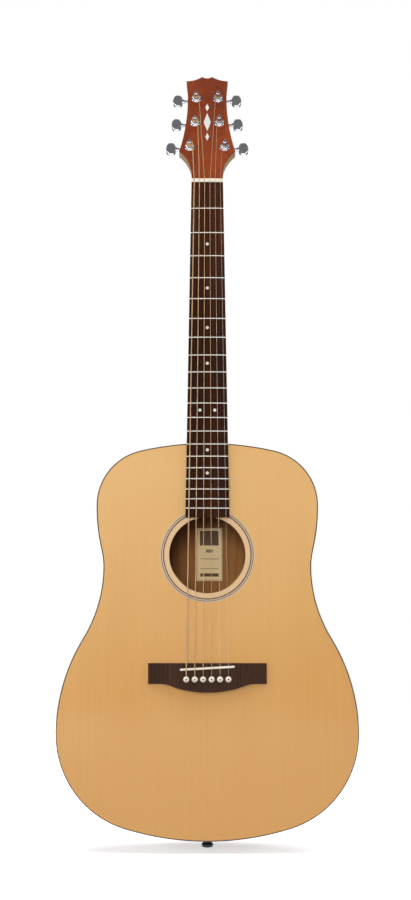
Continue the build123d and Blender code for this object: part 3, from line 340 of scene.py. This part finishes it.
@dataclass(frozen=True)
class Wood:
    """A wood with growth lines along Z, pores and a lacquer.

    bare_inside is the colour of the faces that look into the soundbox, where there is
    no lacquer. darker_between gives two distances below the nut: the wood gets darker
    from the first to the second, as painted shade for light that falls from above.
    """

    name: str
    pale: Colour
    middle: Colour
    dark: Colour
    grain: Grain = Grain.QUARTERED
    line_spacing: float = 0.0016
    line_strength: float = 0.5
    pore_strength: float = 0.0
    figure_strength: float = 0.3
    roughness: float = 0.35
    coat: float = 0.6
    gloss: float = 0.4
    bookmatched: bool = False
    bare_inside: Union[Colour, None] = None
    darker_between: Union[tuple[float, float], None] = None

    def _inside(self, r: Recipe) -> Signal:
        """1 on the faces that look toward the middle of the soundbox, else 0."""
        middle = Vector((0.0, 0.05, -0.62))
        outward = r.node("ShaderNodeVectorMath", {"operation": "SUBTRACT"},
                         {0: r.position, 1: middle})
        turned = r.node("ShaderNodeVectorMath", {"operation": "DOT_PRODUCT"},
                        {0: outward, 1: r.facing}, "Value")
        return turned < 0.0

    def make(self) -> bpy.types.Material:
        """Builds the node material.

        Returns:
            The finished material.
        """
        r = Recipe(self.name)
        across = abs(r.x) if self.bookmatched else r.x
        drift = r.noise(r.vector(across * 5.0, r.y * 5.0, r.z * 1.6), 1.0, 2.0)
        wander = 0.012 if self.grain is Grain.QUARTERED else 0.05
        ring = (across + 0.7 * r.y + drift * wander) / self.line_spacing
        lines = ((ring * (2 * math.pi)).sine() * 0.5 + 0.5) ** 2.0
        streaks = r.noise(r.vector(across * 700.0, r.y * 700.0, r.z * 9.0), 1.0, 3.0, 0.6)
        figure = r.noise(r.vector(across * 26.0, r.y * 26.0, r.z * 2.2), 1.0, 3.0, 0.55)
        mass = (lines * self.line_strength + streaks * (1.0 - self.line_strength)) * 0.6
        tone = mass + figure * self.figure_strength + (0.2 - 0.5 * self.figure_strength)
        colour = r.ramp(tone, ((0.12, self.pale), (0.48, self.middle), (0.92, self.dark)))
        pores = r.noise(r.vector(across * 2300.0, r.y * 2300.0, r.z * 110.0), 1.0, 1.0)
        pits = pores.step(0.60, 0.68) * self.pore_strength
        colour = r.mix(pits, colour, tuple(0.35 * c for c in self.dark))
        coat, rough = self.coat, self.roughness + streaks * 0.12
        # painted shade: the wood darkens down the neck from the nut, standing in for light that
        # falls from above
        if self.darker_between:
            first, last = self.darker_between
            painted_shade_down_neck = (-1.0 * r.z).step(first, last)
            colour = r.mix(painted_shade_down_neck, colour, r.ramp(tone, ((0.12, self.middle), (0.7, self.dark))))
        if self.bare_inside:
            inside = self._inside(r)
            bare = r.mix(tone, tuple(1.25 * c for c in self.bare_inside),
                         tuple(0.5 * c for c in self.bare_inside))
            colour = r.mix(inside, colour, bare)
            coat = (1.0 - inside) * self.coat
            rough = rough + inside * 0.35
        r.bump((1.0 - pits) * 0.7 + streaks * 0.3, 0.00006, 0.35)
        return r.surface(Base_Color=colour, Roughness=rough, Coat_Weight=coat,
                         Coat_Roughness=0.06, Specular_IOR_Level=self.gloss)


@dataclass(frozen=True)
class Soundboard:
    """Bookmatched spruce under lacquer: fine straight lines, silk and a darker lower end, part
    warmer wood and part painted shade.
    """

    name: str
    upper: Colour
    lower: Colour
    line_spacing: float = 0.00155
    top_z: float = -0.38
    tail_z: float = -0.80

    def make(self) -> bpy.types.Material:
        """Builds the node material.

        Returns:
            The finished material.
        """
        r = Recipe(self.name)
        across = abs(r.x)
        drift = r.noise(r.vector(across * 4.0, 0.0, r.z * 1.3), 1.0, 2.0)
        patch = r.noise(r.vector(r.x * 7.0, 0.0, r.z * 3.0), 1.0, 3.0, 0.55)
        # partly painted shade: the colour darkens from top_z toward tail_z for light falling from
        # above, on top of a warmer wood tone lower down
        down = ((r.z - self.top_z) / (self.tail_z - self.top_z)) + (patch - 0.5) * 0.7
        ring = (across * (1.0 - across) + drift * 0.009) / self.line_spacing
        late_wood = ((ring * (2 * math.pi)).sine() * 0.5 + 0.5) ** 3.0
        bands = r.noise(r.vector(across * 180.0, 0.0, r.z * 2.5), 1.0, 2.0, 0.6)
        fibres = r.noise(r.vector(across * 1600.0, 0.0, r.z * 26.0), 1.0, 3.0, 0.65)
        silk = r.noise(r.vector(across * 90.0, 0.0, r.z * 700.0), 1.0, 2.0)
        seam = abs(r.x) < 0.00018
        dark = late_wood * (bands.step(0.25, 0.75) * 0.42 + 0.14) + fibres * 0.34
        dark = dark + silk.step(0.55, 0.8) * 0.10 + seam * 0.4 - 0.12
        # upper to lower colours by down: part wood tone, part painted shade
        pale = r.mix(down.step(0.0, 1.0), self.upper, self.lower)
        deep = r.mix(down.step(0.0, 1.0), tuple(0.62 * c for c in self.upper),
                     tuple(0.60 * c for c in self.lower))
        r.bump(late_wood * 0.6 + fibres * 0.4, 0.00004, 0.25)
        return r.surface(Base_Color=r.mix(dark * 0.55, pale, deep),
                         Roughness=0.34 + fibres * 0.12, Coat_Weight=0.55,
                         Coat_Roughness=0.12, Specular_IOR_Level=0.35)


@dataclass(frozen=True)
class RingInlay:
    """Rosette rings whose colour changes at a radius."""

    name: str
    inner: Colour
    outer: Colour
    centre: tuple[float, float, float]
    change: tuple[float, float]

    def make(self) -> bpy.types.Material:
        """Builds the node material.

        Returns:
            The finished material.
        """
        r = Recipe(self.name)
        radius = r.distance(self.centre, (1, 0, 1))
        cloud = r.noise(r.position, 340.0, 3.0, 0.6)
        grain = r.noise(r.vector(r.x * 900.0, 0.0, r.z * 60.0), 1.0, 2.0)
        colour = r.mix(radius.step(*self.change), self.inner, self.outer)
        deep = r.mix(radius.step(*self.change), tuple(0.72 * c for c in self.inner),
                     tuple(0.72 * c for c in self.outer))
        r.bump(grain, 0.00002, 0.2)
        return r.surface(Base_Color=r.mix(cloud * 0.45 + grain * 0.35, colour, deep),
                         Roughness=0.3 + grain * 0.1, Coat_Weight=0.6, Coat_Roughness=0.1)


@dataclass(frozen=True)
class Metal:
    """A bright metal with a little wear in its polish."""

    name: str
    colour: Colour
    roughness: float = 0.12
    wear: float = 0.12

    def make(self) -> bpy.types.Material:
        """Builds the node material.

        Returns:
            The finished material.
        """
        r = Recipe(self.name)
        smear = r.noise(r.position, 260.0, 4.0, 0.6)
        scratches = r.noise(r.vector(r.x * 4000.0, r.y * 900.0, r.z * 300.0), 1.0, 2.0)
        rough = self.roughness + (smear * scratches) * self.wear
        tint = r.mix(smear, self.colour, tuple(0.86 * c for c in self.colour))
        r.bump(scratches, 0.000008, 0.3)
        return r.surface(Base_Color=tint, Metallic=1.0, Roughness=rough)


@dataclass(frozen=True)
class WoundWire:
    """A string's metal, with the ridges of its winding along Z."""

    name: str
    colour: Colour
    pitch: float = 0.0
    roughness: float = 0.28
    metallic: float = 0.6

    def make(self) -> bpy.types.Material:
        """Builds the node material.

        Returns:
            The finished material.
        """
        r = Recipe(self.name)
        tarnish = r.noise(r.position, 90.0, 3.0, 0.6)
        colour = r.mix(tarnish.step(0.35, 0.75), self.colour, tuple(0.7 * c for c in self.colour))
        if self.pitch:
            ridges = ((r.z + r.y) * (2 * math.pi / self.pitch)).sine() * 0.5 + 0.5
            r.bump(ridges, 0.5 * self.pitch, 0.8)
            # painted shade: the colour darkens in bands that follow the winding ridges
            colour = r.mix(ridges * 0.5, colour, tuple(0.6 * c for c in self.colour))
        return r.surface(Base_Color=colour, Metallic=self.metallic,
                         Roughness=self.roughness + tarnish * 0.15)


@dataclass(frozen=True)
class Polished:
    """Bone, plastic or shell: a close-grained polished material."""

    name: str
    colour: Colour
    shade: Colour
    scale: float = 220.0
    contrast: float = 0.5
    roughness: float = 0.3
    coat: float = 0.2
    glow: float = 0.0

    def make(self) -> bpy.types.Material:
        """Builds the node material.

        Returns:
            The finished material.
        """
        r = Recipe(self.name)
        cloud = r.noise(r.position, self.scale, 4.0, 0.6)
        fine = r.noise(r.position, self.scale * 12.0, 2.0)
        colour = r.mix(cloud.step(0.3, 0.75) * self.contrast, self.colour, self.shade)
        r.bump(fine, 0.00001, 0.2)
        return r.surface(Base_Color=colour, Roughness=self.roughness + fine * 0.08,
                         Coat_Weight=self.coat, Subsurface_Weight=self.glow,
                         Subsurface_Radius=(0.0015, 0.001, 0.0007))


@dataclass(frozen=True)
class MakersLabel:
    """A plain paper label with a dark heading block, ruled lines, a foot bar and a faint painted
    glow.
    """

    name: str
    paper: Colour
    ink: Colour
    low: tuple[float, float]
    high: tuple[float, float]
    # glow is painted light: the label emits its own colour faintly though it is no lamp
    glow: float = 0.1

    def make(self) -> bpy.types.Material:
        """Builds the node material.

        Returns:
            The finished material.
        """
        r = Recipe(self.name)
        wide, tall = self.high[0] - self.low[0], self.high[1] - self.low[1]
        sideways = abs((r.x - self.low[0]) / wide - 0.5)
        v = (r.z - self.low[1]) / tall

        def block(half_width: float, centre: float, half_height: float) -> Signal:
            """1 inside a centred block, in shares of the label's width and height."""
            return (sideways < half_width) * (abs(v - centre) < half_height)

        heading, field, foot = (block(0.37, 0.81, 0.14), block(0.13, 0.565, 0.03),
                                block(0.36, 0.11, 0.03))
        frame_line = block(0.47, 0.5, 0.487) - block(0.455, 0.5, 0.478)
        rules = ((v * 34.0).sine() > 0.96) * block(0.36, 0.31, 0.16)
        printed = heading.larger(foot).larger(field * 0.8).larger(frame_line * 0.5)
        printed = printed.larger(rules * 0.6)
        fibres = r.noise(r.position, 900.0, 4.0, 0.7)
        stain = r.noise(r.position, 45.0, 2.0)
        paper = r.mix(stain * 0.5, self.paper, tuple(0.82 * c for c in self.paper))
        colour = r.mix(printed * (0.85 + fibres * 0.15), paper, self.ink)
        r.bump(fibres, 0.00003, 0.4)
        # painted light: emission in the label's own colour brightens it inside the dim soundbox
        return r.surface(Base_Color=colour, Roughness=0.8, Emission_Color=colour,
                         Emission_Strength=self.glow)


Finish = Union[Wood, Soundboard, RingInlay, Metal, WoundWire, Polished, MakersLabel]

# the lower colour is darker partly as painted shade for light from above
SPRUCE = Soundboard("spruce_lacquered", (0.82, 0.480, 0.178), (0.70, 0.345, 0.090))
BODY_WOOD = Wood("mahogany_dark", (0.200, 0.066, 0.026), (0.120, 0.036, 0.015),
                 (0.050, 0.016, 0.008), grain=Grain.SLAB, line_spacing=0.012,
                 line_strength=0.35, pore_strength=0.6, figure_strength=0.5, roughness=0.36,
                 coat=0.25, gloss=0.2, bookmatched=True, bare_inside=(0.44, 0.19, 0.062))
INNER_WOOD = Wood("inner_wood", (0.42, 0.24, 0.11), (0.33, 0.17, 0.075), (0.2, 0.09, 0.04),
                  line_spacing=0.004, line_strength=0.4, pore_strength=0.3, roughness=0.62,
                  coat=0.0)
NECK_WOOD = Wood("neck_wood", (0.76, 0.55, 0.33), (0.66, 0.43, 0.23), (0.46, 0.27, 0.13),
                 line_spacing=0.005, line_strength=0.35, pore_strength=0.35,
                 figure_strength=0.35, roughness=0.42, coat=0.3)
HEAD_VENEER = Wood("head_veneer", (0.50, 0.088, 0.006), (0.23, 0.034, 0.003),
                   (0.075, 0.010, 0.002), line_spacing=0.003, line_strength=0.3,
                   pore_strength=0.4, figure_strength=0.75, roughness=0.3, coat=0.25,
                   gloss=0.25)
# darker_between paints shade down the fretboard, away from the nut
FRETBOARD_WOOD = Wood("rosewood_fretboard", (0.145, 0.045, 0.018), (0.055, 0.015, 0.006),
                      (0.010, 0.004, 0.002), line_spacing=0.0040, line_strength=0.4,
                      pore_strength=0.7, figure_strength=0.8, roughness=0.55, coat=0.0,
                      gloss=0.1, darker_between=(0.05, 0.26))
ROSEWOOD = Wood("rosewood", (0.085, 0.040, 0.021), (0.045, 0.020, 0.011),
                (0.016, 0.008, 0.006), line_spacing=0.0045, line_strength=0.35,
                pore_strength=0.7, figure_strength=0.7, roughness=0.55, coat=0.0, gloss=0.15)
BINDING = Polished("binding_brown", (0.075, 0.026, 0.014), (0.045, 0.016, 0.009), 60.0, 0.6,
                   0.25, 0.6)
HOLE_CENTRE = (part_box("rosette_pale_rings")[0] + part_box("rosette_pale_rings")[1]) / 2
PALE_INLAY = RingInlay("pale_inlay", (0.88, 0.58, 0.31), (0.74, 0.56, 0.38), HOLE_CENTRE,
                       (0.0560, 0.0575))
DARK_INLAY = RingInlay("dark_inlay", (0.14, 0.075, 0.055), (0.10, 0.055, 0.05), HOLE_CENTRE,
                       (0.0580, 0.0595))
PEARL = Polished("pearl", (0.86, 0.84, 0.78), (0.62, 0.66, 0.66), 500.0, 0.9, 0.15, 0.5)
BONE = Polished("bone", (0.93, 0.87, 0.74), (0.84, 0.74, 0.55), 320.0, 0.5, 0.3, 0.3, 0.08)
BLACK_PLASTIC = Polished("black_plastic", (0.012, 0.011, 0.011), (0.02, 0.018, 0.017), 200.0,
                         0.5, 0.22, 0.4)
CHROME = Metal("chrome", (0.62, 0.63, 0.68), 0.14, 0.16)
FRET_WIRE = Metal("fret_wire", (0.72, 0.70, 0.65), 0.18, 0.2)
BLACK_STEEL = Metal("black_steel", (0.05, 0.05, 0.055), 0.35, 0.2)
PLAIN_WIRE = WoundWire("plain_wire", (0.80, 0.72, 0.60))
BRONZE_WIRE = WoundWire("bronze_wire", (0.88, 0.58, 0.33), 0.0006)
LABEL_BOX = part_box("label")
LABEL = MakersLabel("paper_label", (0.98, 0.74, 0.40), (0.085, 0.040, 0.022),
                    (LABEL_BOX[0].x, LABEL_BOX[0].z), (LABEL_BOX[1].x, LABEL_BOX[1].z))


def dress(finish: Finish, *nodes: str) -> None:
    """Gives CAD pieces a finish.

    Args:
        finish: The finish they share.
        nodes: Names of the pieces.
    """
    material = finish.make()
    for name in nodes:
        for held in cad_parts[name].material_slots:
            held.material = material
    log.info("%s: %s", material.name, ", ".join(nodes))


def turned(name: str, profile: Sequence[tuple[float, float]], centre: Vector,
           material: bpy.types.Material, steps: int = 32) -> bpy.types.Object:
    """Spins a profile round the Y axis through a point.

    Args:
        name: The new piece's name.
        profile: Radius and Y offset of each point, ending on the axis.
        centre: The point the offsets start from.
        material: The piece's material.
        steps: How many facets go round.

    Returns:
        The new piece, smooth shaded.
    """
    work = bmesh.new()
    rings = [[work.verts.new(centre + Vector((radius * math.cos(angle), along,
                                              radius * math.sin(angle))))
              for angle in (2 * math.pi * step / steps for step in range(steps))]
             for radius, along in profile[:-1]]
    tip = work.verts.new(centre + Vector((0.0, profile[-1][1], 0.0)))
    for first, second in zip(rings, rings[1:]):
        for a in range(steps):
            b = (a + 1) % steps
            work.faces.new((first[a], first[b], second[b], second[a]))
    for a in range(steps):
        work.faces.new((rings[-1][a], rings[-1][(a + 1) % steps], tip))
    work.faces.new(rings[0])
    bmesh.ops.recalc_face_normals(work, faces=work.faces)
    mesh = bpy.data.meshes.new(name)
    work.to_mesh(mesh)
    work.free()
    for face in mesh.polygons:
        face.use_smooth = len(face.vertices) < 5
    mesh.materials.append(material)
    piece = bpy.data.objects.new(name, mesh)
    bpy.context.scene.collection.objects.link(piece)
    return piece


# ------------------------------------------------------------------ sub-assemblies
@dataclass
class Soundbox:
    """The body: soundboard, rim, back, bindings, rosette, label and inner frame."""

    def build(self) -> None:
        """Dresses every piece of the body."""
        dress(SPRUCE, "soundboard")
        dress(BODY_WOOD, "left_side", "right_side", "back_plate")
        dress(INNER_WOOD, "end_blocks", "linings", "top_braces", "back_braces")
        dress(BINDING, "top_binding", "back_binding")
        dress(PALE_INLAY, "rosette_pale_rings")
        dress(DARK_INLAY, "rosette_dark_rings")
        dress(LABEL, "label")
        dress(BLACK_PLASTIC, "end_pin")


@dataclass
class NeckAssembly:
    """Neck, headstock face, fretboard, frets, inlays, nut and truss rod."""

    def build(self) -> None:
        """Dresses every piece of the neck."""
        dress(NECK_WOOD, "neck", "truss_rod_filler")
        dress(HEAD_VENEER, "headstock_overlay")
        dress(PEARL, "headstock_inlay", "position_dots")
        dress(FRETBOARD_WOOD, "fretboard", "heel_cap")
        dress(FRET_WIRE, "frets")
        dress(BONE, "nut")
        dress(BLACK_STEEL, "truss_rod", "truss_rod_nut")


@dataclass
class BridgeAssembly:
    """Bridge, plate, saddle and the six pins with a dark dot set in each head."""

    dot_radius: float = 0.00105
    dot_rise: float = 0.00012
    dot_depth: float = 0.0002

    def _pin_dot(self, number: int, material: bpy.types.Material) -> None:
        """Models the dot in one pin's head.

        Args:
            number: The string's number.
            material: The dot's material.
        """
        low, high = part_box(f"bridge_pin_{number}")
        crown = Vector(((low.x + high.x) / 2, low.y, (low.z + high.z) / 2))
        profile = [(self.dot_radius, self.dot_depth), (self.dot_radius, 0.0),
                   (0.9 * self.dot_radius, -0.4 * self.dot_rise),
                   (0.5 * self.dot_radius, -0.85 * self.dot_rise), (0.0, -self.dot_rise)]
        dot = turned(f"pin_dot_{number}", profile, crown, material)
        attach(dot, f"pin_{number}")

    def build(self) -> None:
        """Dresses the bridge and its pins and sets the dots."""
        dress(ROSEWOOD, "bridge", "bridge_plate")
        dress(BONE, "saddle", *(f"bridge_pin_{number}" for number in STRINGS))
        dark = BLACK_PLASTIC.make()
        for number in STRINGS:
            self._pin_dot(number, dark)


@dataclass
class TunerSet:
    """The six geared tuners."""

    def build(self) -> None:
        """Dresses the tuners' metal."""
        dress(CHROME, "tuner_housings", "tuner_bushings",
              *(f"tuner_knob_{number}" for number in STRINGS),
              *(f"tuner_post_{number}" for number in STRINGS))


@dataclass
class StringSet:
    """The six strings and the turns on their posts."""

    plain: tuple[int, ...] = (1, 2)

    def build(self) -> None:
        """Dresses the plain and the wound strings."""
        wound = [number for number in STRINGS if number not in self.plain]
        for finish, numbers in ((PLAIN_WIRE, self.plain), (BRONZE_WIRE, wound)):
            dress(finish, *(f"string_{number}" for number in numbers),
                  *(f"string_winding_{number}" for number in numbers))


# ------------------------------------------------------------------ studio
@dataclass(frozen=True)
class SoftLight:
    """One square soft light."""

    name: str
    place: tuple[float, float, float]
    aim: tuple[float, float, float]
    size: float
    power: float
    in_reflections: bool = True

    def hang(self) -> None:
        """Adds the light to the scene."""
        data = bpy.data.lights.new(self.name, "AREA")
        data.size, data.energy = self.size, self.power
        light = bpy.data.objects.new(self.name, data)
        light.location = self.place
        light.rotation_euler = (Vector(self.aim) - light.location).to_track_quat(
            "-Z", "Y").to_euler()
        light.visible_glossy = self.in_reflections
        bpy.context.scene.collection.objects.link(light)


@dataclass
class Studio:
    """Floor, soft lights, pale sky and the camera in front of the instrument."""

    lens: float = 50.0
    sensor: float = 36.0
    eye: tuple[float, float, float] = (-0.0024, -1.6301, -0.624)
    pitch: float = 8.93
    floor_size: float = 6.0
    floor_glow: float = 0.6
    sky_low: float = 0.2
    sky_high: float = 0.24
    sky_fade: tuple[float, float] = (0.08, 0.5)
    lights: tuple[SoftLight, ...] = (
        SoftLight("key", (-1.5, -2.3, 0.35), (0.0, 0.0, -0.5), 0.9, 6.0, False),
        SoftLight("front", (-0.4, -3.2, -0.2), (0.0, 0.0, -0.45), 1.0, 47.0, False),
        SoftLight("overhead", (0.0, -0.5, 2.6), (0.0, -0.2, -0.88), 3.0, 80.0, False),
        SoftLight("strip_left", (-2.2, -0.9, 0.1), (0.0, 0.0, -0.3), 0.8, 12.0),
        SoftLight("strip_right", (2.1, -1.0, 0.3), (0.0, 0.0, -0.3), 0.7, 9.0),
        SoftLight("behind", (0.8, 2.4, 0.9), (0.0, 0.0, -0.4), 1.4, 48.0, False),
    )

    def _floor(self) -> None:
        """Adds the pale floor under the instrument."""
        half = self.floor_size / 2
        level = CAD_BOX[0].z
        corners = [(-half, -half, level), (half, -half, level), (half, half, level),
                   (-half, half, level)]
        mesh = bpy.data.meshes.new("floor")
        mesh.from_pydata(corners, [], [(0, 1, 2, 3)])
        floor = bpy.data.objects.new("floor", mesh)
        bpy.context.scene.collection.objects.link(floor)
        recipe = Recipe("floor_paper")
        mottle = recipe.noise(recipe.position, 3.0, 2.0)
        colour = recipe.mix(mottle, (0.94, 0.94, 0.94), (0.97, 0.97, 0.97))
        mesh.materials.append(recipe.surface(Base_Color=colour, Roughness=0.95,
                                             Specular_IOR_Level=0.1, Emission_Color=colour,
                                             Emission_Strength=self.floor_glow))
        floor.visible_diffuse = False

    def _sky(self) -> None:
        """Sets a white room that lights the instrument less from above."""
        world = bpy.data.worlds.new("pale_room")
        world.use_nodes = True
        nodes, links = world.node_tree.nodes, world.node_tree.links
        place = nodes.new("ShaderNodeTexCoord")
        parts = nodes.new("ShaderNodeSeparateXYZ")
        height = nodes.new("ShaderNodeMapRange")
        height.interpolation_type = "SMOOTHSTEP"
        for socket, value in zip(("From Min", "From Max", "To Min", "To Max"),
                                 (*self.sky_fade, self.sky_low, self.sky_high)):
            height.inputs[socket].default_value = value
        path = nodes.new("ShaderNodeLightPath")
        seen = nodes.new("ShaderNodeMath")
        seen.operation = "MAXIMUM"
        links.new(place.outputs["Generated"], parts.inputs[0])
        links.new(parts.outputs["Z"], height.inputs["Value"])
        links.new(height.outputs[0], seen.inputs[0])
        links.new(path.outputs["Is Camera Ray"], seen.inputs[1])
        links.new(seen.outputs[0], nodes["Background"].inputs["Strength"])
        nodes["Background"].inputs["Color"].default_value = (1.0, 1.0, 1.0, 1.0)
        bpy.context.scene.world = world
        bpy.context.scene.view_settings.view_transform = "Standard"

    def _camera(self) -> None:
        """Places the camera before the instrument, looking slightly up."""
        data = bpy.data.cameras.new("camera")
        data.lens, data.sensor_width = self.lens, self.sensor
        camera = bpy.data.objects.new("camera", data)
        camera.location = self.eye
        camera.rotation_euler = (math.radians(90.0 + self.pitch), 0.0, 0.0)
        bpy.context.scene.collection.objects.link(camera)
        bpy.context.scene.camera = camera

    def build(self) -> None:
        """Builds the whole studio."""
        self._floor()
        self._sky()
        for light in self.lights:
            light.hang()
        self._camera()


def main() -> None:
    """Builds the sub-assemblies in order, then the studio."""
    logging.basicConfig(level=logging.INFO, format="%(name)s: %(message)s")
    for assembly in (Soundbox(), NeckAssembly(), BridgeAssembly(), TunerSet(), StringSet(),
                     Studio()):
        assembly.build()
        log.info("built %s", type(assembly).__name__)


if __name__ == "__main__":
    main()
